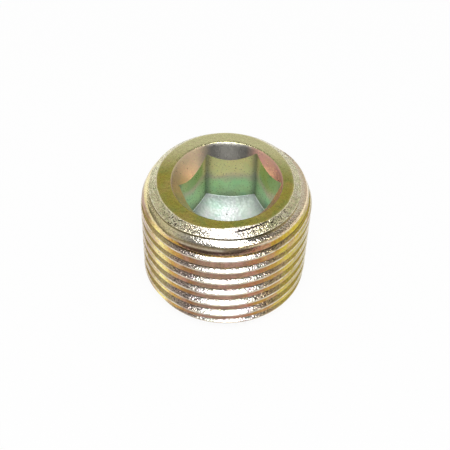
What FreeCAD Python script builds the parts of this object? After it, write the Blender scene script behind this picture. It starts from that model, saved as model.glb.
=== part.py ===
import FreeCAD, Part
import os
import Sketcher

# Headless blanking plug: one turned piece with an internal hexagon and a taper thread.
# The frame: origin at the centre of the small end face, +Z up the axis to the
# socket, two flats of the hexagon facing -Y and +Y. Millimetres and degrees.

# Driving sizes.
SIZES = {
    # blank
    "blank_diameter": 15.8,
    "total_length": 12.0,
    "small_end_chamfer": 0.9,
    # socket
    "across_flats": 8.0,
    "socket_depth": 6.2,
    "floor_half_angle": 60.0,
    "countersink_half_angle": 37.0,
    "mouth_margin": 0.46,
    "mouth_lip_radius": 0.5,
    # head: how the wall outside the mouth is shared by the flat ring, the rough
    # chamfer and the smooth shoulder, with the lead cone taking the rest
    "ring_share": 0.37,
    "face_chamfer_share": 0.24,
    "shoulder_share": 0.23,
    "face_chamfer_drop": 0.5,
    "shoulder_depth": 1.05,
    "lead_depth": 2.2,
    # thread: right-hand, its root on a cone of 1 in thread_taper on the diameter
    "thread_pitch": 1.5,
    "thread_taper": 16.0,
    "thread_half_angle": 30.0,
    "root_flats_per_pitch": 8.0,
    "depth_per_pitch": 0.347,
    "gauge_depth": 2.7,
    "first_groove_depth": 1.93,
    # how far a cutting outline runs past the metal
    "overrun": 0.05,
}

# Sizes worked out from the driving ones. Heights are above the small end face.
WORKED_OUT = {
    "blank_radius": "=blank_diameter / 2",
    "small_end_radius": "=blank_radius - small_end_chamfer",
    "flat_radius": "=across_flats / 2",
    "hexagon_radius": "=flat_radius / cos(30deg)",
    "hexagon_half": "=hexagon_radius / 2",
    "mouth_radius": "=hexagon_radius + mouth_margin",
    "countersink_depth": "=(mouth_radius - flat_radius) / tan(countersink_half_angle * 1deg)",
    "countersink_height": "=total_length - countersink_depth",
    "floor_slope": "=1 / tan(floor_half_angle * 1deg)",
    "floor_apex": "=total_length - socket_depth - flat_radius * floor_slope",
    "floor_depth": "=total_length - floor_apex",
    "floor_radius": "=hexagon_radius + overrun",
    "floor_edge": "=floor_apex + floor_radius * floor_slope",
    "floor_base": "=floor_apex - overrun",
    "wall": "=blank_radius - mouth_radius",
    "face_radius": "=mouth_radius + wall * ring_share",
    "face_chamfer_radius": "=face_radius + wall * face_chamfer_share",
    "face_chamfer_height": "=total_length - face_chamfer_drop",
    "shoulder_radius": "=face_chamfer_radius + wall * shoulder_share",
    "shoulder_height": "=total_length - shoulder_depth",
    "lead_height": "=total_length - lead_depth",
    "clear_radius": "=blank_radius + overrun",
    "side_groove": "=total_length - first_groove_depth + thread_pitch / 4",
    "turns_below": "=ceil(side_groove / thread_pitch) + 1",
    "groove_start": "=side_groove - thread_pitch * turns_below",
    "groove_height": "=thread_pitch * (turns_below + 1)",
    "cone_angle": "=atan(0.5 / thread_taper) / 1deg",
    "cone_drop": "=(total_length - gauge_depth - groove_start) / thread_taper / 2",
    "groove_depth": "=thread_pitch * depth_per_pitch",
    "root_radius": "=blank_radius - groove_depth - cone_drop",
    "rim_spread": "=(clear_radius - root_radius) * tan(thread_half_angle * 1deg)",
    "root_half_width": "=thread_pitch / root_flats_per_pitch / 2",
    "rim_half_width": "=root_half_width + rim_spread",
}

# Two lengths closer than this are the same.
MATCH = 1e-6


def make_sheet(doc):
    """The sheet of named sizes, which every feature reads."""
    sheet = doc.addObject("Spreadsheet::Sheet", "dims")
    for row, (alias, value) in enumerate({**SIZES, **WORKED_OUT}.items(), start=1):
        sheet.set(f"A{row}", alias)
        sheet.set(f"B{row}", str(value))
        sheet.setAlias(f"B{row}", alias)
    doc.recompute()


def origin_feature(body, role):
    """One of the body's own origin planes, by its role."""
    for feature in body.Origin.OriginFeatures:
        if feature.Role == role:
            return feature
    raise RuntimeError(f"no {role} in {body.Label}")


def new_sketch(body, name, role):
    """An empty sketch flat on one of the body's origin planes."""
    sketch = body.newObject("Sketcher::SketchObject", name)
    sketch.AttachmentSupport = (origin_feature(body, role), "")
    sketch.MapMode = "FlatFace"
    return sketch


def value_of(sketch, cell):
    """A corner's coordinate: 0, the name of a cell, or that name with a minus before it."""
    if cell == 0:
        return 0.0
    sizes = sketch.Document.getObject("dims")
    return -sizes.get(cell[1:]) if cell.startswith("-") else sizes.get(cell)


def hold(sketch, direction, line, cell):
    """Tie one coordinate of a line's first end to a cell of the sheet."""
    distance = Sketcher.Constraint(direction, -1, 1, line, 1, value_of(sketch, cell))
    place = sketch.addConstraint(distance)
    if cell != 0:
        bound = f"-dims.{cell[1:]}" if cell.startswith("-") else f"dims.{cell}"
        sketch.setExpression(f"Constraints[{place}]", bound)


def outline(sketch, corners):
    """Draw a closed outline through corners, each an (across, up) pair of cells."""
    points = [
        FreeCAD.Vector(value_of(sketch, across), value_of(sketch, up), 0)
        for across, up in corners
    ]
    for first, second in zip(points, points[1:] + points[:1]):
        sketch.addGeometry(Part.LineSegment(first, second))
    for line, (across, up) in enumerate(corners):
        following = (line + 1) % len(corners)
        sketch.addConstraint(Sketcher.Constraint("Coincident", line, 2, following, 1))
        hold(sketch, "DistanceX", line, across)
        hold(sketch, "DistanceY", line, up)


def turned(body, kind, name, corners):
    """A revolved feature about the plug's axis, from an outline in the XZ plane."""
    sketch = new_sketch(body, f"{name}_outline", "XZ_Plane")
    outline(sketch, corners)
    feature = body.newObject(kind, name)
    feature.Profile = sketch
    feature.ReferenceAxis = (sketch, ["V_Axis"])
    feature.Angle = 360
    body.Document.recompute()
    return feature


def mouth_edge(feature):
    """The edge between the flat ring and the countersink, found by its size and height."""
    sizes = feature.Document.getObject("dims")
    for number, edge in enumerate(feature.Shape.Edges, start=1):
        if not isinstance(edge.Curve, Part.Circle):
            continue
        at_face = abs(edge.Curve.Center.z - sizes.get("total_length")) < MATCH
        if at_face and abs(edge.Curve.Radius - sizes.get("mouth_radius")) < MATCH:
            return f"Edge{number}"
    raise RuntimeError("the mouth of the socket has no round edge")


def cut_socket(body):
    """The hexagon, its conical floor, the countersink and the rounded lip of the mouth."""
    sketch = new_sketch(body, "hexagon_outline", "XY_Plane")
    sketch.setExpression(".AttachmentOffset.Base.z", "dims.total_length")
    outline(sketch, [
        ("hexagon_radius", 0),
        ("hexagon_half", "flat_radius"),
        ("-hexagon_half", "flat_radius"),
        ("-hexagon_radius", 0),
        ("-hexagon_half", "-flat_radius"),
        ("hexagon_half", "-flat_radius"),
    ])
    pocket = body.newObject("PartDesign::Pocket", "hexagon")
    pocket.Profile = sketch
    pocket.setExpression("Length", "dims.floor_depth")
    body.Document.recompute()
    turned(body, "PartDesign::Revolution", "socket_floor", [
        (0, "floor_base"),
        ("floor_radius", "floor_base"),
        ("floor_radius", "floor_edge"),
        (0, "floor_apex"),
    ])
    countersink = turned(body, "PartDesign::Groove", "countersink", [
        (0, "countersink_height"),
        ("flat_radius", "countersink_height"),
        ("mouth_radius", "total_length"),
        (0, "total_length"),
    ])
    edge = mouth_edge(countersink)
    lip = body.newObject("PartDesign::Fillet", "mouth_lip")
    lip.Base = (countersink, [edge])
    lip.setExpression("Radius", "dims.mouth_lip_radius")
    body.Document.recompute()


def make_blank(doc):
    """The unthreaded plug: the turned outside with its end chamfers and cones, and the socket."""
    body = doc.addObject("PartDesign::Body", "blank")
    turned(body, "PartDesign::Revolution", "turned_outside", [
        (0, 0),
        ("small_end_radius", 0),
        ("blank_radius", "small_end_chamfer"),
        ("blank_radius", "lead_height"),
        ("shoulder_radius", "shoulder_height"),
        ("face_chamfer_radius", "face_chamfer_height"),
        ("face_radius", "total_length"),
        (0, "total_length"),
    ])
    cut_socket(body)
    return body


def make_groove(doc):
    """The V groove of the thread, wound up from below the small end to past the shoulder."""
    helix = doc.addObject("Part::Helix", "thread_line")
    helix.setExpression("Pitch", "dims.thread_pitch")
    helix.setExpression("Height", "dims.groove_height")
    helix.setExpression("Radius", "dims.root_radius")
    helix.setExpression("Angle", "dims.cone_angle")
    helix.SegmentLength = 1
    helix.setExpression(".Placement.Base.z", "dims.groove_start")

    sketch = doc.addObject("Sketcher::SketchObject", "groove_outline")
    sketch.Placement.Rotation = FreeCAD.Rotation(FreeCAD.Vector(1, 0, 0), 90)
    sketch.setExpression(".Placement.Base.z", "dims.groove_start")
    outline(sketch, [
        ("root_radius", "-root_half_width"),
        ("clear_radius", "-rim_half_width"),
        ("clear_radius", "rim_half_width"),
        ("root_radius", "root_half_width"),
    ])
    doc.recompute()

    groove = doc.addObject("Part::Sweep", "groove")
    groove.Sections = [sketch]
    groove.Spine = (helix, [f"Edge{n}" for n in range(1, len(helix.Shape.Edges) + 1)])
    groove.Solid = True
    groove.Frenet = True
    doc.recompute()
    if groove.Shape.Volume > 0:
        return groove
    # A swept solid can come out with its faces turned inward, which would keep the
    # metal of the groove and cut away the rest.
    outward = doc.addObject("Part::Reverse", "groove_facing_outward")
    outward.Source = groove
    doc.recompute()
    return outward


def make_plug(doc):
    """The whole plug: the blank with its thread cut."""
    plug = doc.addObject("Part::Cut", "plug")
    plug.Base = make_blank(doc)
    plug.Tool = make_groove(doc)
    plug.Label = "plug"
    plug.Placement = FreeCAD.Placement()
    return plug


def check(doc, pieces):
    """Stop unless every feature was computed and every piece is one closed, valid solid."""
    for item in doc.Objects:
        if "Invalid" in item.State or "Error" in item.State:
            raise RuntimeError(f"{item.Label} failed: {item.State}")
    for piece in pieces:
        shape = piece.Shape
        if shape.isNull() or not shape.isValid() or len(shape.Solids) != 1:
            raise RuntimeError(f"{piece.Label} is not one valid solid")


doc = FreeCAD.newDocument("blanking_plug")
make_sheet(doc)
plug = make_plug(doc)
doc.recompute()
check(doc, [plug])
os.makedirs("parts", exist_ok=True)
plug.Shape.exportStep(f"parts/{plug.Label}.step")
print(f"{plug.Label}: {plug.Shape.Volume:.2f} cubic mm, {len(plug.Shape.Faces)} faces")
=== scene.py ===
import math

import bmesh
import bpy
from mathutils import Matrix, Vector, noise


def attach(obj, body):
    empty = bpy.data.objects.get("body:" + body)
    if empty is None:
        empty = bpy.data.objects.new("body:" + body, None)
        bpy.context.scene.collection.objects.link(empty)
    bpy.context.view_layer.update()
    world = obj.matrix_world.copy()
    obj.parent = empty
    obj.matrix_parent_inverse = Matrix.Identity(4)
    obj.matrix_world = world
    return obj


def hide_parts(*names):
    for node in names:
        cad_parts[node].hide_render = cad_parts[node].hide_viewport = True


# The looks of the headless blanking plug: its turned and threaded outside, the rough
# chamfer of the head, the hexagon socket, and its yellow passivated zinc. Shapes are
# worked in millimetres, in the frame of the part, and scaled to metres at the end.

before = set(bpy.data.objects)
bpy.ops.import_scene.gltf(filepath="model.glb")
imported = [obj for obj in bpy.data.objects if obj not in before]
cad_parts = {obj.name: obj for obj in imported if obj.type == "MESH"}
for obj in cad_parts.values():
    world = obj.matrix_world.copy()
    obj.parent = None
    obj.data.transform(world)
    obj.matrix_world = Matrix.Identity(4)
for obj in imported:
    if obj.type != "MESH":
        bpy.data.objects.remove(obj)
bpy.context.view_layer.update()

MM = 0.001

# The blank: radius against height above the small end.
TOTAL_LENGTH = 12.0
BLANK_RADIUS = 7.9
SMALL_END_CHAMFER = 0.9
LEAD_HEIGHT = 9.8
SHOULDER_HEIGHT = 11.0
SHOULDER_RADIUS = 7.45
SHOULDER_WIDENING = 0.15
SHOULDER_DROP = 0.45
SHOULDER_CREASE = Vector((-0.14, 0.22))
FACE_CHAMFER_HEIGHT = 11.5
FACE_CHAMFER_RADIUS = 6.80
FACE_CHAMFER_LEAN = Vector((0.3, -0.12))
STEP_HEIGHT = 0.24
STEP_UNDERCUT = 0.03
BLANK_ROUNDING = 0.02

# The flat ring's uneven outer edge, with its narrowest stretch near the front.
RING_RADIUS = 6.12
RING_WIDENING = 0.26
RING_NARROWING = 0.2
NARROWEST_DEGREES = -80
NARROW_SPREAD = 26
RING_UNEVENNESS = 0.05
RING_WAVES = 1.6

# Between which angles, in degrees, the head goes over to its shape on the left and behind.
WIDENING_DEGREES = (95, 140)
DROP_DEGREES = (45, 115)
RING_DEGREES = (70, 125)
REAR_DEGREES = (20, 80)

# The socket.
FLAT_RADIUS = 4.06
MOUTH_RADIUS = 5.08
MOUTH_LIP = 0.26
COUNTERSINK_TOP_RADIUS = 4.92
COUNTERSINK_HALF_ANGLE = math.radians(37)
SOCKET_DEPTH = 6.2
FLOOR_SLOPE = 1 / math.tan(math.radians(60))
FLOOR_EDGE_RADIUS = 4.0
FLOOR_APEX = TOTAL_LENGTH - SOCKET_DEPTH - FLOOR_EDGE_RADIUS * FLOOR_SLOPE
HEXAGON_SIDES = 6
HEXAGON_ROUNDING = 0.015
HEXAGON_OFFSET = Vector((0.32, 0.0))
LEAST_FACING = 0.1

# The thread.
PITCH = 1.5
FLANK_SLOPE = math.tan(math.radians(30))
ROOT_HALF_WIDTH = PITCH / 16
GROOVE_DEPTH = 0.52
ROOT_TAPER = 1 / 32
GAUGE_HEIGHT = 9.3
SIDE_GROOVE = TOTAL_LENGTH - 1.93 + PITCH / 4
ROOT_ROUNDING = 0.05
CREST_ROUNDING_ABOVE_GROOVE = 0.04
CREST_ROUNDING_BELOW_GROOVE = 0.12

# The finishes, in the order of the piece's material slots.
FINISHES = ("thread", "step", "chamfer", "ring", "countersink", "wall", "floor", "small_end")

# How finely the mesh follows them.
COLUMNS = 360
ROWS_PER_PITCH = 24
TURNS = 10
TOP_CUT = 10.95
SMALL_END_CUT = 0.1
RIM_ROUNDS = 24

# Lengths closer than this are the same: levels, corners to be joined, and edges too short to keep.
SAME_LEVEL = 1e-4
SAME_CORNER = 1e-3
NO_EDGE = 1e-4


def polar(radius, angle, height):
    """The point at a radius and an angle about the axis."""
    return Vector((radius * math.cos(angle), radius * math.sin(angle), height))


def column_angle(place):
    """The angle of the column of the mesh nearest to a point."""
    step = 2 * math.pi / COLUMNS
    return step * round(math.atan2(place.y, place.x) / step)


def smooth_step(value, low, high):
    """0 below low, 1 above high, and a smooth rise between."""
    share = min(max((value - low) / (high - low), 0), 1)
    return share * share * (3 - 2 * share)


def leftness(angle, start, end):
    """0 on the right and 1 on the left and behind, easing between two angles.

    The two angles are in degrees, counted from +X by the front.
    """
    degrees = math.degrees(angle)
    if degrees > 0:
        return smooth_step(degrees, *REAR_DEGREES)
    return smooth_step(-degrees, start, end)


def shoulder_edge(angle):
    """The (radius, height) where the shoulder meets the lead cone, lower on the left."""
    radius = SHOULDER_RADIUS + SHOULDER_WIDENING * leftness(angle, *WIDENING_DEGREES)
    height = SHOULDER_HEIGHT - SHOULDER_DROP * leftness(angle, *DROP_DEGREES)
    return Vector((radius, height))


def chamfer_edge(angle):
    """The (radius, height) of the lower edge of the rough chamfer, lower and wider on the left."""
    lean = FACE_CHAMFER_LEAN * leftness(angle, *WIDENING_DEGREES)
    return Vector((FACE_CHAMFER_RADIUS, FACE_CHAMFER_HEIGHT)) + lean


def blank_radius(height, angle):
    """The radius of the unthreaded blank, with its turned edges a little rounded."""
    corners = (
        Vector((BLANK_RADIUS, LEAD_HEIGHT)),
        shoulder_edge(angle),
        shoulder_edge(angle) + SHOULDER_CREASE,
        chamfer_edge(angle) - Vector((0, STEP_HEIGHT)),
    )
    sides = [BLANK_RADIUS, BLANK_RADIUS - SMALL_END_CHAMFER + height]
    for lower, upper in zip(corners, corners[1:]):
        slope = (lower.x - upper.x) / (upper.y - lower.y)
        sides.append(lower.x - (height - lower.y) * slope)
    least = min(sides)
    share = sum(math.exp((least - side) / BLANK_ROUNDING) for side in sides)
    return least - BLANK_ROUNDING * math.log(share)


def root_radius(height):
    """The radius of the cone that the bottom of the groove lies on."""
    return BLANK_RADIUS - GROOVE_DEPTH - (GAUGE_HEIGHT - height) * ROOT_TAPER


# The most of a straight side that the rounding of one of its corners takes up.
MOST_OF_A_SIDE = 0.45


def rounded_corner(before, corner, after, reach, share):
    """The point at a share of the rounded corner between two straight sides."""
    def end_on(side):
        return corner + side.normalized() * min(reach, side.length * MOST_OF_A_SIDE)

    near = end_on(before - corner).lerp(corner, share)
    far = corner.lerp(end_on(after - corner), share)
    return near.lerp(far, share)


def groove_side(centre, way, angle):
    """The corners of one side of the groove, each as (up, radius).

    They are the bottom, the edge of the root, the edge of the rim and the middle of the crest.
    """
    root = root_radius(centre)
    width = ROOT_HALF_WIDTH
    for _ in range(RIM_ROUNDS):
        rim = blank_radius(centre + way * width, angle)
        width = ROOT_HALF_WIDTH + max(rim - root, 0) * FLANK_SLOPE
    middle = centre + way * PITCH / 2
    root_edge = centre + way * ROOT_HALF_WIDTH
    rim_edge = centre + way * width
    return (
        Vector((centre, min(root, blank_radius(centre, angle)))),
        Vector((root_edge, min(root, blank_radius(root_edge, angle)))),
        Vector((rim_edge, blank_radius(rim_edge, angle))),
        Vector((middle, blank_radius(middle, angle))),
    )


# Where the zones of half a pitch end, counted in rows of the mesh from the root.
ROOT_ROWS = 1
ROOT_CORNER_ROWS = 3
FLANK_ROWS = 5
CREST_CORNER_ROWS = 9
HALF_PITCH_ROWS = ROWS_PER_PITCH // 2
# The rows of the crest's upper edge, which get wear and a painted highlight line.
WORN_HIGHLIGHT_ROWS = (6, 7)

# The depth of the groove, in millimetres, from which its marks, the painted shade in the root and
# the wear with its painted highlight, have their full strength.
FULL_CUT = 0.3


def thread_point(centre, way, row, angle):
    """The (up, radius) place of a row of the mesh on one side of the groove."""
    bottom, root_edge, rim_edge, middle = groove_side(centre, way, angle)
    crest_rounding = CREST_ROUNDING_ABOVE_GROOVE if way > 0 else CREST_ROUNDING_BELOW_GROOVE
    root_start = rounded_corner(bottom, root_edge, rim_edge, ROOT_ROUNDING, 0)
    root_end = rounded_corner(bottom, root_edge, rim_edge, ROOT_ROUNDING, 1)
    rim_start = rounded_corner(root_edge, rim_edge, middle, crest_rounding, 0)
    rim_end = rounded_corner(root_edge, rim_edge, middle, crest_rounding, 1)
    if row <= ROOT_ROWS:
        return bottom.lerp(root_start, row / ROOT_ROWS)
    if row <= ROOT_CORNER_ROWS:
        share = (row - ROOT_ROWS) / (ROOT_CORNER_ROWS - ROOT_ROWS)
        return rounded_corner(bottom, root_edge, rim_edge, ROOT_ROUNDING, share)
    if row <= FLANK_ROWS:
        return root_end.lerp(rim_start, (row - ROOT_CORNER_ROWS) / (FLANK_ROWS - ROOT_CORNER_ROWS))
    if row <= CREST_CORNER_ROWS:
        share = (row - FLANK_ROWS) / (CREST_CORNER_ROWS - FLANK_ROWS)
        return rounded_corner(root_edge, rim_edge, middle, crest_rounding, share)
    share = (row - CREST_CORNER_ROWS) / (HALF_PITCH_ROWS - CREST_CORNER_ROWS)
    up = rim_end.x + (middle.x - rim_end.x) * share
    return Vector((up, blank_radius(up, angle)))


def wind_thread(bm):
    """The helical skin: a strip of one pitch, spun once, stacked, and given its section."""
    low = bm.verts.new((BLANK_RADIUS, 0, -PITCH / 2))
    high = bm.verts.new((BLANK_RADIUS, 0, PITCH / 2))
    strip = bm.edges.new((low, high))
    bmesh.ops.subdivide_edges(bm, edges=[strip], cuts=ROWS_PER_PITCH - 1)
    bmesh.ops.spin(
        bm,
        geom=bm.verts[:] + bm.edges[:],
        cent=(0, 0, 0),
        axis=(0, 0, 1),
        dvec=(0, 0, PITCH / COLUMNS),
        angle=2 * math.pi,
        steps=COLUMNS,
    )
    one_turn = bm.verts[:] + bm.edges[:] + bm.faces[:]
    for turn in range(1, TURNS):
        copy = bmesh.ops.duplicate(bm, geom=one_turn)["geom"]
        raised = [item for item in copy if isinstance(item, bmesh.types.BMVert)]
        bmesh.ops.translate(bm, vec=(0, 0, PITCH * turn), verts=raised)
    row_height = PITCH / ROWS_PER_PITCH
    bmesh.ops.remove_doubles(bm, verts=bm.verts, dist=row_height / 3)
    crest = bm.verts.layers.float.new("crest")
    wear_and_highlight = bm.verts.layers.float.new("wear_and_highlight")
    groove_shade = bm.verts.layers.float.new("groove_shade")
    lowest = SIDE_GROOVE - PITCH * math.ceil(SIDE_GROOVE / PITCH + 1)
    for vert in bm.verts:
        angle = column_angle(vert.co)
        climb = PITCH * angle / (2 * math.pi)
        rows = round((vert.co.z - climb) / row_height)
        turn = math.floor(rows / ROWS_PER_PITCH + 0.5)
        row = rows - turn * ROWS_PER_PITCH
        centre = lowest + climb + turn * PITCH
        place = thread_point(centre, 1 if row > 0 else -1, abs(row), angle)
        vert.co = polar(place.y, angle, place.x)
        past_flank = (abs(row) - FLANK_ROWS) / (CREST_CORNER_ROWS - FLANK_ROWS)
        vert[crest] = min(max(past_flank, 0), 1)
        cut = smooth_step(blank_radius(centre, angle) - root_radius(centre), 0.0, FULL_CUT)
        # The root is painted dark, as shade in the groove.
        if abs(row) <= ROOT_CORNER_ROWS:
            vert[groove_shade] = cut
        # The crest's upper edge gets wear and a painted highlight line.
        if -row in WORN_HIGHLIGHT_ROWS:
            vert[wear_and_highlight] = cut


def cut_level(bm, height, way):
    """Cut the skin level and line its open edge up with the columns of the mesh."""
    bmesh.ops.bisect_plane(
        bm,
        geom=bm.verts[:] + bm.edges[:] + bm.faces[:],
        plane_co=(0, 0, height),
        plane_no=(0, 0, way),
        clear_outer=True,
    )
    rim = [vert for vert in bm.verts if abs(vert.co.z - height) < SAME_LEVEL]
    for vert in rim:
        angle = column_angle(vert.co)
        vert.co = polar(blank_radius(height, angle), angle, height)
    bmesh.ops.remove_doubles(bm, verts=rim, dist=SAME_CORNER)


def start_ring(bm, height):
    """A ring of the blank at a height, with a corner on each column."""
    bmesh.ops.create_circle(bm, segments=COLUMNS, radius=BLANK_RADIUS)
    for vert in bm.verts:
        angle = column_angle(vert.co)
        vert.co = polar(blank_radius(height, angle), angle, height)
    return bm.edges[:]


def carry_on(bm, ring, place, finish):
    """Extrude an open ring and put each new corner at the radius and height of its column."""
    grown = bmesh.ops.extrude_edge_only(bm, edges=ring)["geom"]
    for item in grown:
        if isinstance(item, bmesh.types.BMFace):
            item.material_index = FINISHES.index(finish)
    corners = {item for item in grown if isinstance(item, bmesh.types.BMVert)}
    for vert in corners:
        angle = column_angle(vert.co)
        radius, height = place(angle)
        vert.co = polar(radius, angle, height)
    return [
        item for item in grown
        if isinstance(item, bmesh.types.BMEdge) and all(vert in corners for vert in item.verts)
    ]


def close_to_point(bm, ring, finish):
    """Close an open ring with a fan of faces on to the axis."""
    face = bmesh.ops.contextual_create(bm, geom=ring)["faces"]
    fan = bmesh.ops.poke(bm, faces=face)["faces"]
    for item in fan:
        item.material_index = FINISHES.index(finish)


def hexagon_reach(angle):
    """The distance from the axis to the wall of the hexagon, its corners a little rounded."""
    sides = []
    for side in range(HEXAGON_SIDES):
        outward = math.pi / 2 + side * 2 * math.pi / HEXAGON_SIDES
        facing = math.cos(angle - outward)
        if facing > LEAST_FACING:
            shift = HEXAGON_OFFSET.dot(Vector((math.cos(outward), math.sin(outward))))
            sides.append((FLAT_RADIUS + shift) / facing)
    least = min(sides)
    share = sum(math.exp((least - side) / HEXAGON_ROUNDING) for side in sides)
    return least - HEXAGON_ROUNDING * math.log(share)


def face_edge_radius(angle):
    """The flat ring's outer edge, which the chamfer left uneven: widest behind and on the left."""
    narrow = math.exp(-((math.degrees(angle) - NARROWEST_DEGREES) / NARROW_SPREAD) ** 2)
    shape = RING_RADIUS + RING_WIDENING * leftness(angle, *RING_DEGREES) - RING_NARROWING * narrow
    return shape + RING_UNEVENNESS * noise.noise(polar(RING_WAVES, angle, 0))


def countersink_height(radius):
    """The height of the countersink's cone at a radius."""
    return TOTAL_LENGTH - (MOUTH_RADIUS - radius) / math.tan(COUNTERSINK_HALF_ANGLE)


def build_head(bm):
    """From the top of the skin over the chamfer and the flat ring, down to the socket's floor."""
    def chamfer_point(share):
        def place(angle):
            start = chamfer_edge(angle)
            end = Vector((face_edge_radius(angle), TOTAL_LENGTH))
            point = start.lerp(end, share)
            return point.x, point.y
        return place

    def shoulder_point(share):
        def place(angle):
            top = chamfer_edge(angle).y - STEP_HEIGHT
            height = TOP_CUT + (top - TOP_CUT) * share
            return blank_radius(height, angle), height
        return place

    def step_point(share):
        def place(angle):
            edge = chamfer_edge(angle)
            return edge.x - STEP_UNDERCUT, edge.y - STEP_HEIGHT * (1 - share)
        return place

    def ring_point(share):
        def place(angle):
            edge = face_edge_radius(angle)
            return edge + (MOUTH_RADIUS + MOUTH_LIP - edge) * share, TOTAL_LENGTH
        return place

    def lip_point(share):
        corner = Vector((MOUTH_RADIUS, TOTAL_LENGTH))
        outside = Vector((MOUTH_RADIUS + MOUTH_LIP, TOTAL_LENGTH))
        inside = Vector((FLAT_RADIUS, countersink_height(FLAT_RADIUS)))
        point = rounded_corner(outside, corner, inside, MOUTH_LIP, share)
        return lambda angle: (point.x, point.y)

    def countersink_point(share):
        start = Vector((COUNTERSINK_TOP_RADIUS, countersink_height(COUNTERSINK_TOP_RADIUS)))
        def place(angle):
            reach = hexagon_reach(angle)
            end = Vector((reach, countersink_height(reach)))
            point = start.lerp(end, share)
            return point.x, point.y
        return place

    def wall_point(share):
        def place(angle):
            reach = hexagon_reach(angle)
            top = countersink_height(reach)
            bottom = FLOOR_APEX + reach * FLOOR_SLOPE
            return reach, top + (bottom - top) * share
        return place

    def floor_point(share):
        def place(angle):
            radius = hexagon_reach(angle) * (1 - share)
            return radius, FLOOR_APEX + radius * FLOOR_SLOPE
        return place

    ring = start_ring(bm, TOP_CUT)
    for share in (0.2, 0.4, 0.6, 0.8, 0.95, 1.0):
        ring = carry_on(bm, ring, shoulder_point(share), "thread")
    for share in (0.15, 0.5, 0.85):
        ring = carry_on(bm, ring, step_point(share), "step")
    for share in (0.0, 0.1, 0.25, 0.4, 0.55, 0.7, 0.85, 0.95, 1.0):
        ring = carry_on(bm, ring, chamfer_point(share), "chamfer")
    for share in (0.08, 0.3, 0.55, 0.8, 0.95):
        ring = carry_on(bm, ring, ring_point(share), "ring")
    for share in (0.0, 0.2, 0.4, 0.6, 0.8, 1.0):
        ring = carry_on(bm, ring, lip_point(share), "ring" if share < 0.6 else "countersink")
    for share in (0.1, 0.35, 0.6, 0.85, 0.95, 1.0):
        ring = carry_on(bm, ring, countersink_point(share), "countersink")
    for share in (0.01, 0.03, 0.1, 0.2, 0.35, 0.5, 0.65, 0.8, 0.9, 0.98, 1.0):
        ring = carry_on(bm, ring, wall_point(share), "wall")
    for share in (0.02, 0.1, 0.3, 0.5, 0.7, 0.85, 0.95):
        ring = carry_on(bm, ring, floor_point(share), "floor")
    close_to_point(bm, ring, "floor")


# How far inside the edge of the small end each ring of its mesh lies, and how high.
SMALL_END_RINGS = ((0.0, 0.03), (0.06, 0.0), (0.2, 0.0), (2.0, 0.0), (4.5, 0.0), (6.2, 0.0))


def build_small_end(bm):
    """From the bottom of the skin round the small end to its centre."""
    ring = start_ring(bm, SMALL_END_CUT)
    edge = blank_radius(0, 0)
    for inward, height in SMALL_END_RINGS:
        ring = carry_on(bm, ring, lambda angle: (edge - inward, height), "small_end")
    close_to_point(bm, ring, "small_end")


# The edges of the head lie above this height and outside this radius.
HEAD_HEIGHT = SHOULDER_HEIGHT - 0.6
HEAD_RADIUS = 5.5
# The socket lies above this height and inside this radius.
SOCKET_HEIGHT = 3
SOCKET_RADIUS = 4.85
CORNER_RADIUS = FLAT_RADIUS / math.cos(math.pi / HEXAGON_SIDES)
# How far the painted shade in the hexagon's corners reaches, and over which shares of the radius
# the floor takes painted shade along the walls.
CORNER_SHADE_REACH = 0.45
FLOOR_SHADE_SHARES = (0.74, 1.0)
CLEAR_OF_WALL = 0.01
# How wide the head's edges with wear and a painted highlight are, and how strong that mark is.
RING_EDGE_WEAR_AND_HIGHLIGHT = (0.05, 0.8)
LOWER_EDGE_WEAR_AND_HIGHLIGHT = (0.06, 0.9)
# Over which heights above its edge and its crease the shoulder takes on its two colours.
ABOVE_EDGE = (-0.02, 0.05)
ABOVE_CREASE = (-0.05, 0.05)


def mark_wear_highlight_and_shade(bm):
    """Say where edges are painted silvery, for wear and as a painted highlight, and where the
    hexagon's corners and the floor along its walls are dark with painted shade.
    """
    wear_and_highlight = bm.verts.layers.float["wear_and_highlight"]
    corner = bm.verts.layers.float.new("corner")
    shoulder = bm.verts.layers.float.new("shoulder")
    turns = [side * 2 * math.pi / HEXAGON_SIDES for side in range(HEXAGON_SIDES)]
    corners = [HEXAGON_OFFSET + polar(CORNER_RADIUS, turn, 0).xy for turn in turns]
    for vert in bm.verts:
        radius = vert.co.xy.length
        angle = math.atan2(vert.co.y, vert.co.x)
        if vert.co.z > HEAD_HEIGHT and radius > HEAD_RADIUS:
            profile = Vector((radius, vert.co.z))
            ring_edge = Vector((face_edge_radius(angle), TOTAL_LENGTH))
            for edge, (width, strength) in (
                (ring_edge, RING_EDGE_WEAR_AND_HIGHLIGHT),
                (chamfer_edge(angle), LOWER_EDGE_WEAR_AND_HIGHLIGHT),
                (shoulder_edge(angle), LOWER_EDGE_WEAR_AND_HIGHLIGHT),
            ):
                near = strength * math.exp(-((profile - edge).length / width) ** 2)
                vert[wear_and_highlight] = max(vert[wear_and_highlight], near)
            over = vert.co.z - shoulder_edge(angle).y
            low = smooth_step(over, *ABOVE_EDGE)
            high = smooth_step(over - SHOULDER_CREASE.y, *ABOVE_CREASE)
            vert[shoulder] = (low + high) / 2
        # The hexagon's corners, and the floor along the walls, are marked for painted shade.
        if radius < SOCKET_RADIUS and vert.co.z > SOCKET_HEIGHT:
            nearest = min((vert.co.xy - place).length for place in corners)
            wall = hexagon_reach(angle)
            if radius < wall - CLEAR_OF_WALL:
                vert[corner] = smooth_step(radius / wall, *FLOOR_SHADE_SHARES)
            else:
                vert[corner] = math.exp(-(nearest / CORNER_SHADE_REACH) ** 2)


ROUGHNESS_WAVES = 2.2
FINER_WAVES = 2.7
FINER_SHARE = 0.5
PLAIN_DEPTH = 0.004
WORN_DEPTH = 0.02
CHAMFER_DEPTH = 0.014
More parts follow.
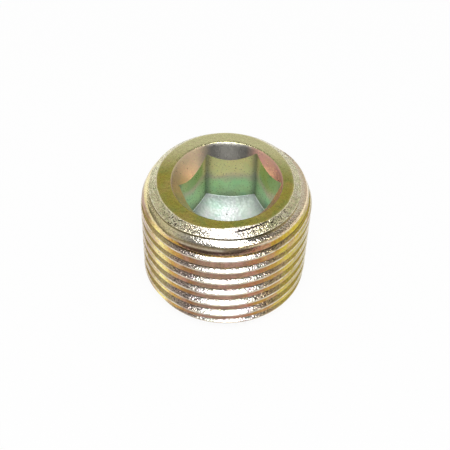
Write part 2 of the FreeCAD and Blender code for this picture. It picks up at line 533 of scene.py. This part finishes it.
# The rough chamfer lies above this height and outside this radius.
ROUGH_HEIGHT = 11.2
ROUGH_RADIUS = 5.9
# The socket and the small end's face stay even: only what is outside these is moved.
EVEN_HEIGHT = 0.05
EVEN_RADIUS = 5


def roughen(bm):
    """Small unevenness of a cut and plated surface: most on the chamfer and on thin edges."""
    wear_and_highlight = bm.verts.layers.float["wear_and_highlight"]
    for vert in bm.verts:
        place = vert.co * ROUGHNESS_WAVES
        radius = vert.co.xy.length
        depth = PLAIN_DEPTH + WORN_DEPTH * vert[wear_and_highlight]
        if vert.co.z > ROUGH_HEIGHT and radius > ROUGH_RADIUS:
            depth = CHAMFER_DEPTH
        away = Vector((vert.co.x, vert.co.y, 0)).normalized()
        push = noise.noise(place) + FINER_SHARE * noise.noise(place * FINER_WAVES)
        if vert.co.z > EVEN_HEIGHT and radius > EVEN_RADIUS:
            vert.co += away * min(push * depth, 0)


SHARP_ANGLE = math.radians(28)


def build_plug():
    """The whole plug as one closed mesh."""
    bm = bmesh.new()
    wind_thread(bm)
    cut_level(bm, TOP_CUT, 1)
    cut_level(bm, SMALL_END_CUT, -1)
    for build_end in (build_head, build_small_end):
        end = bmesh.new()
        build_end(end)
        stand_in = bpy.data.meshes.new(build_end.__name__)
        end.to_mesh(stand_in)
        end.free()
        bm.from_mesh(stand_in)
        bpy.data.meshes.remove(stand_in)
    bmesh.ops.remove_doubles(bm, verts=bm.verts, dist=SAME_CORNER)
    bmesh.ops.dissolve_degenerate(bm, edges=bm.edges, dist=NO_EDGE)
    bmesh.ops.recalc_face_normals(bm, faces=bm.faces)
    mark_wear_highlight_and_shade(bm)
    roughen(bm)
    bmesh.ops.scale(bm, vec=(MM, MM, MM), verts=bm.verts)
    mesh = bpy.data.meshes.new("plug_finish")
    bm.to_mesh(mesh)
    bm.free()
    mesh.shade_smooth()
    mesh.set_sharp_from_angle(angle=SHARP_ANGLE)
    piece = bpy.data.objects.new("plug_finish", mesh)
    bpy.context.scene.collection.objects.link(piece)
    return piece


def tint(red, green, blue):
    """A colour given as 0 to 255, as it looks, made linear."""
    def linear(value):
        value /= 255
        return value / 12.92 if value <= 0.04045 else ((value + 0.055) / 1.055) ** 2.4
    return (linear(red), linear(green), linear(blue), 1.0)


def add(tree, kind, **settings):
    """A new node with its settings."""
    node = tree.nodes.new(kind)
    for name, value in settings.items():
        setattr(node, name, value)
    return node


def feed(tree, source, socket):
    """Join an output to a socket, or set the socket to a plain value."""
    if isinstance(source, bpy.types.NodeSocket):
        tree.links.new(source, socket)
    else:
        socket.default_value = source


def reckon(tree, operation, *sources):
    """The output of a maths node."""
    node = add(tree, "ShaderNodeMath", operation=operation)
    for source, socket in zip(sources, node.inputs):
        feed(tree, source, socket)
    return node.outputs[0]


def ease(tree, source, low, high):
    """A smooth step from 0 at low to 1 at high."""
    node = add(tree, "ShaderNodeMapRange", interpolation_type="SMOOTHSTEP")
    feed(tree, source, node.inputs["Value"])
    feed(tree, low, node.inputs["From Min"])
    feed(tree, high, node.inputs["From Max"])
    return node.outputs["Result"]


def blend(tree, share, first, second):
    """One colour mixed into another."""
    node = add(tree, "ShaderNodeMix", data_type="RGBA")
    feed(tree, share, node.inputs["Factor"])
    feed(tree, first, node.inputs["A"])
    feed(tree, second, node.inputs["B"])
    return next(out for out in node.outputs if out.type == "RGBA")


def object_place(tree):
    """The place in the part, in metres."""
    return add(tree, "ShaderNodeTexCoord").outputs["Object"]


def cloud(tree, place, scale, detail=2.0):
    """A noise about a place in the part."""
    node = add(tree, "ShaderNodeTexNoise")
    feed(tree, place, node.inputs["Vector"])
    feed(tree, scale, node.inputs["Scale"])
    node.inputs["Detail"].default_value = detail
    return node.outputs["Fac"]


def new_group(name, inputs, outputs):
    """An empty shader group with its sockets, and its input and output nodes."""
    tree = bpy.data.node_groups.new(name, "ShaderNodeTree")
    for label, kind in inputs:
        tree.interface.new_socket(label, in_out="INPUT", socket_type=kind)
    for label, kind in outputs:
        tree.interface.new_socket(label, in_out="OUTPUT", socket_type=kind)
    return tree, add(tree, "NodeGroupInput"), add(tree, "NodeGroupOutput")


NUMBER = "NodeSocketFloat"
COLOUR = "NodeSocketColor"


def film_group():
    """Passivate film: a base colour with cloudy patches of two other interference colours."""
    tree, given, made = new_group(
        "passivate_film",
        [("Base", COLOUR), ("Second", COLOUR), ("Third", COLOUR), ("Patch Scale", NUMBER),
         ("Second Share", NUMBER), ("Third Share", NUMBER)],
        [("Color", COLOUR)],
    )
    place = object_place(tree)
    scale = given.outputs["Patch Scale"]
    patches = cloud(tree, place, scale, 3.0)
    shifted = add(tree, "ShaderNodeMapping")
    shifted.inputs["Location"].default_value = (0.031, 0.017, 0.023)
    feed(tree, place, shifted.inputs["Vector"])
    others = cloud(tree, shifted.outputs[0], reckon(tree, "MULTIPLY", scale, 1.6), 3.0)
    second = ease(tree, patches, 0.42, 0.62)
    second = reckon(tree, "MULTIPLY", second, given.outputs["Second Share"])
    third = ease(tree, others, 0.45, 0.62)
    third = reckon(tree, "MULTIPLY", third, given.outputs["Third Share"])
    colour = blend(tree, second, given.outputs["Base"], given.outputs["Second"])
    colour = blend(tree, third, colour, given.outputs["Third"])
    feed(tree, colour, made.inputs["Color"])
    return tree


def speckle_group():
    """Grain by grain shifts of hue and brightness, as coarse zinc crystals give."""
    tree, given, made = new_group(
        "crystal_speckle",
        [("Color", COLOUR), ("Grain Scale", NUMBER), ("Hue Spread", NUMBER),
         ("Value Spread", NUMBER)],
        [("Color", COLOUR), ("Grain", NUMBER)],
    )
    place = object_place(tree)
    cells = add(tree, "ShaderNodeTexVoronoi", feature="F1")
    feed(tree, place, cells.inputs["Vector"])
    feed(tree, given.outputs["Grain Scale"], cells.inputs["Scale"])
    random = add(tree, "ShaderNodeSeparateColor")
    feed(tree, cells.outputs["Color"], random.inputs[0])
    about = reckon(tree, "SUBTRACT", random.outputs[0], 0.5)
    hue = reckon(tree, "MULTIPLY_ADD", about, given.outputs["Hue Spread"], 0.5)
    lift = reckon(tree, "SUBTRACT", random.outputs[1], 0.5)
    value = reckon(tree, "MULTIPLY_ADD", lift, given.outputs["Value Spread"], 1.0)
    shifted = add(tree, "ShaderNodeHueSaturation")
    feed(tree, hue, shifted.inputs["Hue"])
    feed(tree, value, shifted.inputs["Value"])
    feed(tree, given.outputs["Color"], shifted.inputs["Color"])
    feed(tree, shifted.outputs[0], made.inputs["Color"])
    feed(tree, random.outputs[2], made.inputs["Grain"])
    return tree


def relief_group():
    """Height of the surface: fine grain, and turned marks that run round the axis."""
    tree, given, made = new_group(
        "turned_relief",
        [("Grain Scale", NUMBER), ("Grain Depth", NUMBER), ("Mark Scale", NUMBER),
         ("Mark Depth", NUMBER)],
        [("Height", NUMBER)],
    )
    place = object_place(tree)
    turned = add(tree, "ShaderNodeMapping")
    turned.inputs["Rotation"].default_value = (0.4, 0.7, 0.2)
    feed(tree, place, turned.inputs["Vector"])
    grain = cloud(tree, turned.outputs[0], given.outputs["Grain Scale"], 0.6)
    parts = add(tree, "ShaderNodeSeparateXYZ")
    feed(tree, place, parts.inputs[0])
    x, y, z = parts.outputs[:3]
    squares = reckon(tree, "MULTIPLY_ADD", y, y, reckon(tree, "MULTIPLY", x, x))
    line = add(tree, "ShaderNodeCombineXYZ")
    feed(tree, reckon(tree, "SQRT", squares), line.inputs[0])
    feed(tree, z, line.inputs[1])
    marks = cloud(tree, line.outputs[0], given.outputs["Mark Scale"], 2.0)
    rough = reckon(tree, "MULTIPLY", grain, given.outputs["Grain Depth"])
    height = reckon(tree, "MULTIPLY_ADD", marks, given.outputs["Mark Depth"], rough)
    feed(tree, height, made.inputs["Height"])
    return tree


def place_group(tree, group, **values):
    """Put a group in a material with its values; _ stands for a space in a socket's name."""
    node = add(tree, "ShaderNodeGroup", node_tree=group)
    for label, value in values.items():
        feed(tree, value, node.inputs[label.replace("_", " ")])
    return node


def part_place(tree):
    """The place in the part, in millimetres, as three outputs."""
    parts = add(tree, "ShaderNodeSeparateXYZ")
    scaled = add(tree, "ShaderNodeVectorMath", operation="SCALE")
    feed(tree, object_place(tree), scaled.inputs[0])
    scaled.inputs["Scale"].default_value = 1 / MM
    feed(tree, scaled.outputs[0], parts.inputs[0])
    return parts.outputs


# The noise scale of the zinc's crystals, and how their roughness varies about the finish's own.
CRYSTAL_SCALE = 10500.0
LEAST_ROUGHNESS = 0.75
ROUGHNESS_SPREAD = 0.5


def zinc(name, film, speckle, relief, roughness, metal=1.0, tone=None, worn_and_highlit_edges=False):
    """A passivated zinc finish from the three shared groups; tone changes the film's colour."""
    material = bpy.data.materials.new(name)
    material.use_nodes = True
    tree = material.node_tree
    shader = tree.nodes["Principled BSDF"]
    colour = place_group(tree, GROUPS["film"], **film).outputs["Color"]
    if tone:
        colour = tone(tree, colour)
    grains = place_group(tree, GROUPS["speckle"], Color=colour, **speckle)
    feed(tree, grains.outputs["Color"], shader.inputs["Base Color"])
    height = place_group(tree, GROUPS["relief"], **relief).outputs["Height"]
    bump = add(tree, "ShaderNodeBump")
    bump.inputs["Distance"].default_value = MM
    feed(tree, height, bump.inputs["Height"])
    feed(tree, bump.outputs[0], shader.inputs["Normal"])
    spread = reckon(
        tree, "MULTIPLY_ADD", grains.outputs["Grain"],
        roughness * ROUGHNESS_SPREAD, roughness * LEAST_ROUGHNESS,
    )
    feed(tree, spread, shader.inputs["Roughness"])
    shader.inputs["Metallic"].default_value = metal
    # Edges with wear and a painted highlight are made less metallic, which lights them paler.
    if worn_and_highlit_edges:
        bare = reckon(tree, "MULTIPLY_ADD", vertex_mark(tree, "wear_and_highlight"), -WORN_HIGHLIGHT_DULLNESS, 1.0)
        feed(tree, bare, shader.inputs["Metallic"])
    return material


def across(tree, source, low, high, *colours):
    """Colours evenly spaced from low to high, eased into one another."""
    step = (high - low) / (len(colours) - 1)
    made = colours[0]
    for number, colour in enumerate(colours[1:]):
        start = low + step * number
        made = blend(tree, ease(tree, source, start, start + step), made, colour)
    return made


def sideness(tree, radius):
    """How far to either side a point is, from 0 at the middle to 1 at a radius."""
    return reckon(tree, "MULTIPLY", reckon(tree, "ABSOLUTE", part_place(tree)[0]), 1 / radius)


def vertex_mark(tree, name):
    """A mark that the mesh carries."""
    return add(tree, "ShaderNodeAttribute", attribute_name=name).outputs["Fac"]


# The painted highlight on edges with wear: its colour, how much of it shows, and how much less
# metallic it makes them.
RUBBED_HIGHLIGHT_COLOUR = tint(240, 228, 204)
RUBBED_HIGHLIGHT_SHARE = 0.9
WORN_HIGHLIGHT_DULLNESS = 0.6


def rubbed_and_highlit(tree, colour):
    """A colour with its edges painted silvery, unevenly, for wear and as a painted highlight."""
    uneven = ease(tree, cloud(tree, object_place(tree), 900.0), 0.2, 0.6)
    share = reckon(tree, "MULTIPLY", uneven, RUBBED_HIGHLIGHT_SHARE)
    share = reckon(tree, "MULTIPLY", vertex_mark(tree, "wear_and_highlight"), share)
    return blend(tree, share, colour, RUBBED_HIGHLIGHT_COLOUR)


def specks(tree, near, full, faded):
    """Dark specks in the grain, which begin and fade out at distances to either side, about the
    ends of the highlight band: grain with painted shade.
    """
    grain = cloud(tree, object_place(tree), 7400.0, 1.0)
    side = reckon(tree, "ABSOLUTE", part_place(tree)[0])
    begun = ease(tree, side, near, full)
    begun = reckon(tree, "MULTIPLY", begun, ease(tree, side, faded, faded * 0.75))
    return reckon(tree, "MULTIPLY", ease(tree, grain, 0.52, 0.62), begun)


def thread_zinc():
    """The threaded outside: silvery flanks, and crests brown in front and gold at the sides. The
    left crests carry a painted glint, the groove's root painted shade, the flanks dark specks of
    painted shade, the shoulder a golden painted reflection on the left, and the crests' upper
    edges a painted highlight line with wear.
    """
    def tone(tree, film):
        middle = part_place(tree)[0]
        waver = cloud(tree, object_place(tree), 260.0, 3.0)
        x = reckon(tree, "ADD", middle, reckon(tree, "MULTIPLY_ADD", waver, 3.0, -1.5))
        left_flank = across(
            tree, x, -6.6, -2.2,
            tint(196, 170, 104), tint(206, 188, 136), tint(196, 178, 166), film,
        )
        flank = across(tree, x, 2.6, 6.4, left_flank, tint(204, 180, 140), tint(206, 182, 88))
        # The pale yellow band on the left crests is a painted glint; the other colours are the
        # film's.
        left_crest_and_glint = across(
            tree, middle, -7.0, -1.8,
            tint(158, 128, 84), tint(255, 236, 150), tint(196, 152, 72), tint(146, 104, 60),
            tint(150, 120, 100),
        )
        crest = across(
            tree, x, 1.2, 7.4,
            left_crest_and_glint, tint(166, 116, 78), tint(180, 142, 60), tint(204, 182, 62),
            tint(168, 154, 96),
        )
        # Dark specks about the ends of the flanks' highlight: painted shade in the grain.
        speckled = reckon(tree, "MULTIPLY", specks(tree, 1.2, 2.6, 5.6), 0.7)
        flank = blend(tree, speckled, flank, tint(104, 90, 86))
        mottle = ease(tree, cloud(tree, object_place(tree), 700.0, 3.0), 0.46, 0.66)
        crest = blend(tree, reckon(tree, "MULTIPLY", mottle, 0.5), crest, tint(186, 142, 130))
        colour = blend(tree, vertex_mark(tree, "crest"), flank, crest)
        # The groove's root is painted dark as shade, less so at the sides.
        side = sideness(tree, BLANK_RADIUS)
        depth = reckon(tree, "MULTIPLY_ADD", ease(tree, side, 0.3, 0.7), -0.4, 1.0)
        depth = reckon(tree, "MULTIPLY", ease(tree, vertex_mark(tree, "groove_shade"), 0.1, 0.65), depth)
        colour = blend(tree, depth, colour, tint(100, 80, 44))
        # The shoulder's two colours; their golden tone on the left is a painted reflection.
        sideways = ease(tree, side, 0.2, 0.72)
        left = ease(tree, middle, 2.0, -5.0)
        shoulder = vertex_mark(tree, "shoulder")
        low_side = blend(tree, left, tint(244, 220, 182), tint(226, 208, 148))
        low = blend(tree, sideways, tint(236, 212, 168), low_side)
        high_side = blend(tree, left, tint(255, 234, 204), tint(246, 230, 176))
        high = blend(tree, sideways, tint(214, 210, 200), high_side)
        colour = blend(tree, ease(tree, shoulder, 0.0, 0.5), colour, low)
        colour = blend(tree, ease(tree, shoulder, 0.5, 1.0), colour, high)
        return rubbed_and_highlit(tree, colour)

    material = zinc(
        "thread_zinc",
        dict(Base=tint(222, 216, 206), Second=tint(206, 186, 206), Third=tint(180, 206, 176),
             Patch_Scale=700.0, Second_Share=0.5, Third_Share=0.4),
        dict(Grain_Scale=CRYSTAL_SCALE, Hue_Spread=0.05, Value_Spread=0.4),
        dict(Grain_Scale=8000.0, Grain_Depth=0.02, Mark_Scale=4000.0, Mark_Depth=0.0),
        0.1,
        tone=tone,
        worn_and_highlit_edges=True,
    )
    tree = material.node_tree
    relief = next(
        node for node in tree.nodes if node.type == "GROUP" and node.node_tree == GROUPS["relief"]
    )
    side = reckon(tree, "ABSOLUTE", part_place(tree)[0])
    flank_depth = reckon(tree, "MULTIPLY_ADD", ease(tree, side, 4.0, 5.6), -0.016, 0.036)
    crest_share = reckon(tree, "MULTIPLY_ADD", vertex_mark(tree, "crest"), -0.7, 1.0)
    feed(tree, reckon(tree, "MULTIPLY", flank_depth, crest_share), relief.inputs["Grain Depth"])
    return material


WALL_PITS = ((0.74, 4.06, 9.65), (1.16, 4.06, 6.70))
FLOOR_PITS = ((0.06, 2.45, 4.90),)
PIT_RADIUS = 0.09


def pitted(tree, colour, pits):
    """A colour with small dark pits at places given in millimetres."""
    place = object_place(tree)
    for pit in pits:
        away = add(tree, "ShaderNodeVectorMath", operation="DISTANCE")
        feed(tree, place, away.inputs[0])
        away.inputs[1].default_value = Vector(pit) * MM
        near = ease(tree, away.outputs["Value"], PIT_RADIUS * MM, PIT_RADIUS * MM / 3)
        colour = blend(tree, near, colour, tint(60, 66, 40))
    return colour


def wall_zinc():
    """The hexagon's walls: the film thins down the socket, from yellow through pink to green; the
    corners carry painted shade.
    """
    def tone(tree, film):
        place = part_place(tree)
        waver = cloud(tree, object_place(tree), 330.0, 3.0)
        height = reckon(tree, "ADD", place[2], reckon(tree, "MULTIPLY_ADD", waver, 4.0, -2.0))
        low = blend(tree, ease(tree, height, 5.6, 7.4), tint(98, 124, 108), tint(172, 224, 168))
        middle = blend(tree, ease(tree, height, 7.4, 8.8), low, tint(216, 190, 172))
        back = ease(tree, place[1], 3.2, 3.8)
        top = blend(tree, back, tint(156, 182, 92), tint(255, 236, 172))
        colour = blend(tree, ease(tree, height, 8.4, 9.4), middle, top)
        colour = blend(tree, 0.3, colour, film)
        # Painted shade in the hexagon's corners.
        dark = reckon(tree, "MULTIPLY", vertex_mark(tree, "corner"), 0.7)
        colour = blend(tree, dark, colour, tint(84, 92, 84))
        return pitted(tree, colour, WALL_PITS)

    return zinc(
        "wall_zinc",
        dict(Base=tint(196, 206, 160), Second=tint(214, 204, 120), Third=tint(150, 206, 160),
             Patch_Scale=300.0, Second_Share=0.7, Third_Share=0.7),
        dict(Grain_Scale=CRYSTAL_SCALE, Hue_Spread=0.03, Value_Spread=0.1),
        dict(Grain_Scale=3000.0, Grain_Depth=0.02, Mark_Scale=4000.0, Mark_Depth=0.0),
        0.35,
        metal=0.4,
        tone=tone,
    )


def countersink_zinc():
    """The countersink: grey green at the back, orange to pink at the sides."""
    def tone(tree, film):
        side = sideness(tree, MOUTH_RADIUS)
        right = ease(tree, part_place(tree)[0], 0.0, 3.0)
        sides = blend(tree, right, tint(255, 238, 202), tint(255, 196, 186))
        sides = blend(tree, 0.35, sides, film)
        return blend(tree, ease(tree, side, 0.3, 0.62), tint(126, 124, 118), sides)

    return zinc(
        "countersink_zinc",
        dict(Base=tint(214, 178, 120), Second=tint(222, 158, 140), Third=tint(206, 190, 130),
             Patch_Scale=420.0, Second_Share=0.8, Third_Share=0.4),
        dict(Grain_Scale=CRYSTAL_SCALE, Hue_Spread=0.03, Value_Spread=0.12),
        dict(Grain_Scale=3600.0, Grain_Depth=0.004, Mark_Scale=5000.0, Mark_Depth=0.004),
        0.36,
        tone=tone,
    )


def floor_zinc():
    """The floor of the socket: pale grey with a mint cast, shadowed where it meets the walls."""
    def tone(tree, film):
        dark = reckon(tree, "MULTIPLY", vertex_mark(tree, "corner"), 0.75)
        return pitted(tree, blend(tree, dark, film, tint(96, 106, 102)), FLOOR_PITS)

    return zinc(
        "floor_zinc",
        dict(Base=tint(208, 218, 214), Second=tint(184, 218, 204), Third=tint(218, 212, 222),
             Patch_Scale=500.0, Second_Share=0.7, Third_Share=0.5),
        dict(Grain_Scale=CRYSTAL_SCALE, Hue_Spread=0.05, Value_Spread=0.1),
        dict(Grain_Scale=3600.0, Grain_Depth=0.05, Mark_Scale=4000.0, Mark_Depth=0.02),
        0.55,
        metal=0.35,
        tone=tone,
    )


def scratch(tree):
    """The dark scratch on the front of the chamfer, from right of the middle up to the ring."""
    x, y, z = part_place(tree)[:3]
    line = reckon(tree, "MULTIPLY_ADD", x, 0.06, 11.75)
    off = reckon(tree, "ABSOLUTE", reckon(tree, "SUBTRACT", z, line))
    along = reckon(tree, "MULTIPLY", ease(tree, x, 0.5, 1.3), ease(tree, x, 4.4, 3.0))
    front = reckon(tree, "MULTIPLY", along, ease(tree, y, 0.0, -1.0))
    return reckon(tree, "MULTIPLY", ease(tree, off, 0.06, 0.03), front)


def chamfer_zinc():
    """The rough chamfer of the head: coarse bright and dark grain, olive at the sides. Dark specks
    of painted shade lie about the ends of its highlight, and its edges are painted silvery for
    wear and as a painted highlight.
    """
    def tone(tree, film):
        side = sideness(tree, FACE_CHAMFER_RADIUS)
        colour = blend(tree, ease(tree, side, 0.2, 0.6), tint(196, 190, 180), film)
        colour = blend(tree, specks(tree, 0.6, 2.0, 6.4), colour, tint(72, 66, 50))
        colour = blend(tree, scratch(tree), colour, tint(34, 28, 28))
        return rubbed_and_highlit(tree, colour)

    return zinc(
        "chamfer_zinc",
        dict(Base=tint(250, 238, 190), Second=tint(255, 244, 214), Third=tint(214, 214, 166),
             Patch_Scale=600.0, Second_Share=0.6, Third_Share=0.7),
        dict(Grain_Scale=CRYSTAL_SCALE, Hue_Spread=0.08, Value_Spread=0.5),
        dict(Grain_Scale=8000.0, Grain_Depth=0.055, Mark_Scale=4000.0, Mark_Depth=0.03),
        0.22,
        tone=tone,
        worn_and_highlit_edges=True,
    )


def ring_zinc():
    """The flat ring: olive, paler behind as a painted highlight, with its edges painted silvery
    for wear and as a painted highlight.
    """
    def tone(tree, film):
        # Paler behind: a painted highlight.
        behind = ease(tree, part_place(tree)[1], 0.0, 5.0)
        return rubbed_and_highlit(tree, blend(tree, behind, film, tint(246, 240, 182)))

    return zinc(
        "ring_zinc",
        dict(Base=tint(192, 180, 84), Second=tint(206, 186, 110), Third=tint(164, 176, 92),
             Patch_Scale=420.0, Second_Share=0.6, Third_Share=0.6),
        dict(Grain_Scale=CRYSTAL_SCALE, Hue_Spread=0.04, Value_Spread=0.25),
        dict(Grain_Scale=3600.0, Grain_Depth=0.02, Mark_Scale=5000.0, Mark_Depth=0.008),
        0.28,
        tone=tone,
        worn_and_highlit_edges=True,
    )


GROUPS = {"film": film_group(), "speckle": speckle_group(), "relief": relief_group()}


def finish_materials():
    """One material for each finish, in the order of the slots."""
    # The step under the chamfer, its film and its tone, is painted dark as the shade in that
    # narrow step, and lighter towards the sides.
    def step_shade_tone(tree, film):
        x = part_place(tree)[0]
        left, less_left, right = tint(150, 138, 96), tint(112, 104, 76), tint(196, 184, 138)
        return across(tree, x, -6.0, 6.0, left, less_left, film, film, right)

    step = zinc(
        "painted_shade_step_zinc",
        dict(Base=tint(88, 80, 62), Second=tint(112, 98, 76), Third=tint(72, 76, 58),
             Patch_Scale=500.0, Second_Share=0.6, Third_Share=0.6),
        dict(Grain_Scale=CRYSTAL_SCALE, Hue_Spread=0.05, Value_Spread=0.3),
        dict(Grain_Scale=5600.0, Grain_Depth=0.03, Mark_Scale=4000.0, Mark_Depth=0.0),
        0.4,
        tone=step_shade_tone,
    )
    small_end = zinc(
        "small_end_zinc",
        dict(Base=tint(196, 176, 110), Second=tint(200, 160, 140), Third=tint(160, 170, 110),
             Patch_Scale=300.0, Second_Share=0.5, Third_Share=0.5),
        dict(Grain_Scale=CRYSTAL_SCALE, Hue_Spread=0.04, Value_Spread=0.2),
        dict(Grain_Scale=5200.0, Grain_Depth=0.02, Mark_Scale=5000.0, Mark_Depth=0.02),
        0.30,
    )
    return (
        thread_zinc(), step, chamfer_zinc(), ring_zinc(),
        countersink_zinc(), wall_zinc(), floor_zinc(), small_end,
    )


STAGE_SIZE = 0.8
FLOOR_WHITENESS = 0.92


def white_floor():
    """The pale floor, which the camera and the metal see as plain white."""
    bpy.ops.mesh.primitive_plane_add(size=STAGE_SIZE)
    floor = bpy.context.object
    floor.name = "floor"
    material = bpy.data.materials.new("floor_white")
    material.use_nodes = True
    tree = material.node_tree
    shader = tree.nodes["Principled BSDF"]
    shader.inputs["Base Color"].default_value = (0.8, 0.8, 0.8, 1)
    shader.inputs["Roughness"].default_value = 0.9
    glow = add(tree, "ShaderNodeEmission")
    glow.inputs["Color"].default_value = (1, 1, 1, 1)
    glow.inputs["Strength"].default_value = 1.0
    path = add(tree, "ShaderNodeLightPath")
    seen = reckon(tree, "MAXIMUM", path.outputs["Is Camera Ray"], path.outputs["Is Glossy Ray"])
    mix = add(tree, "ShaderNodeMixShader")
    feed(tree, reckon(tree, "MULTIPLY", seen, FLOOR_WHITENESS), mix.inputs["Fac"])
    feed(tree, shader.outputs[0], mix.inputs[1])
    feed(tree, glow.outputs[0], mix.inputs[2])
    feed(tree, mix.outputs[0], tree.nodes["Material Output"].inputs["Surface"])
    floor.data.materials.append(material)


def panel(name, place, aim, size, strength):
    """A soft rectangular lamp that faces a point; strength is how bright it looks."""
    data = bpy.data.lights.new(name, "AREA")
    data.shape = "RECTANGLE"
    data.size, data.size_y = size
    data.energy = strength * math.pi * size[0] * size[1]
    lamp = bpy.data.objects.new(name, data)
    bpy.context.scene.collection.objects.link(lamp)
    lamp.location = place
    lamp.rotation_euler = (Vector(aim) - Vector(place)).to_track_quat("-Z", "Y").to_euler()


# The overhead panel, in metres.
OVERHEAD_PLACE = (0, -0.21, 0.47)
OVERHEAD_AIM = (0, 0, 0.01)
OVERHEAD_SIZE = (0.27, 0.42)
OVERHEAD_STRENGTH = 7.2

SURROUND_STRENGTH = 0.55
SHADE_DEPTH = 0.34
COLLAR_DEPTH = 0.45


def light_the_scene():
    """A bright overhead panel in an even surround.

    The surround is darker round the panel, at the horizon and near the camera, and plain
    white behind the plug.
    """
    world = bpy.data.worlds.new("surround")
    bpy.context.scene.world = world
    world.use_nodes = True
    tree = world.node_tree
    way = add(tree, "ShaderNodeSeparateXYZ")
    feed(tree, add(tree, "ShaderNodeTexCoord").outputs["Generated"], way.inputs[0])
    nearness = ease(tree, reckon(tree, "MULTIPLY", way.outputs[1], -1.0), 0.35, 0.75)
    lowness = ease(tree, way.outputs[2], 0.75, 0.5)
    horizon = ease(tree, way.outputs[2], 0.3, 0.08)
    shade = reckon(tree, "MAXIMUM", reckon(tree, "MULTIPLY", nearness, lowness), horizon)
    strength = reckon(tree, "MULTIPLY_ADD", shade, -SHADE_DEPTH, SURROUND_STRENGTH)
    collar = ease(tree, way.outputs[2], 0.76, 0.84)
    strength = reckon(tree, "MULTIPLY_ADD", collar, -COLLAR_DEPTH, strength)
    seen = add(tree, "ShaderNodeLightPath").outputs["Is Camera Ray"]
    background = tree.nodes["Background"]
    feed(tree, reckon(tree, "MAXIMUM", strength, seen), background.inputs["Strength"])
    background.inputs["Color"].default_value = (1, 1, 1, 1)
    panel("overhead", OVERHEAD_PLACE, OVERHEAD_AIM, OVERHEAD_SIZE, OVERHEAD_STRENGTH)


# The camera, fitted to the photograph: its place before the small turn round the axis, in
# millimetres, and its angles in radians.
CAMERA_PLACE = (-0.038, -58.85, 69.31)
CAMERA_TURN = math.radians(0.93)
CAMERA_PITCH = math.pi / 2 - 0.822
CAMERA_ROLL = 0.0332
SENSOR_WIDTH = 36
FOCAL_LENGTH = 72.48
CLIP_START = 0.005


def place_camera():
    """The camera at the photograph's angle; the hexagon's small turn is in its azimuth."""
    data = bpy.data.cameras.new("camera")
    camera = bpy.data.objects.new("camera", data)
    bpy.context.scene.collection.objects.link(camera)
    bpy.context.scene.camera = camera
    data.sensor_width = SENSOR_WIDTH
    data.lens = FOCAL_LENGTH
    data.clip_start = CLIP_START
    spin = Matrix.Rotation(CAMERA_TURN, 4, "Z")
    place = Matrix.Translation([length * MM for length in CAMERA_PLACE])
    tilt = Matrix.Rotation(CAMERA_PITCH, 4, "X")
    camera.matrix_world = spin @ place @ tilt @ Matrix.Rotation(CAMERA_ROLL, 4, "Z")


bpy.context.scene.view_settings.view_transform = "Standard"
plug = build_plug()
for material in finish_materials():
    plug.data.materials.append(material)
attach(plug, "root")
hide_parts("plug")
white_floor()
light_the_scene()
place_camera()
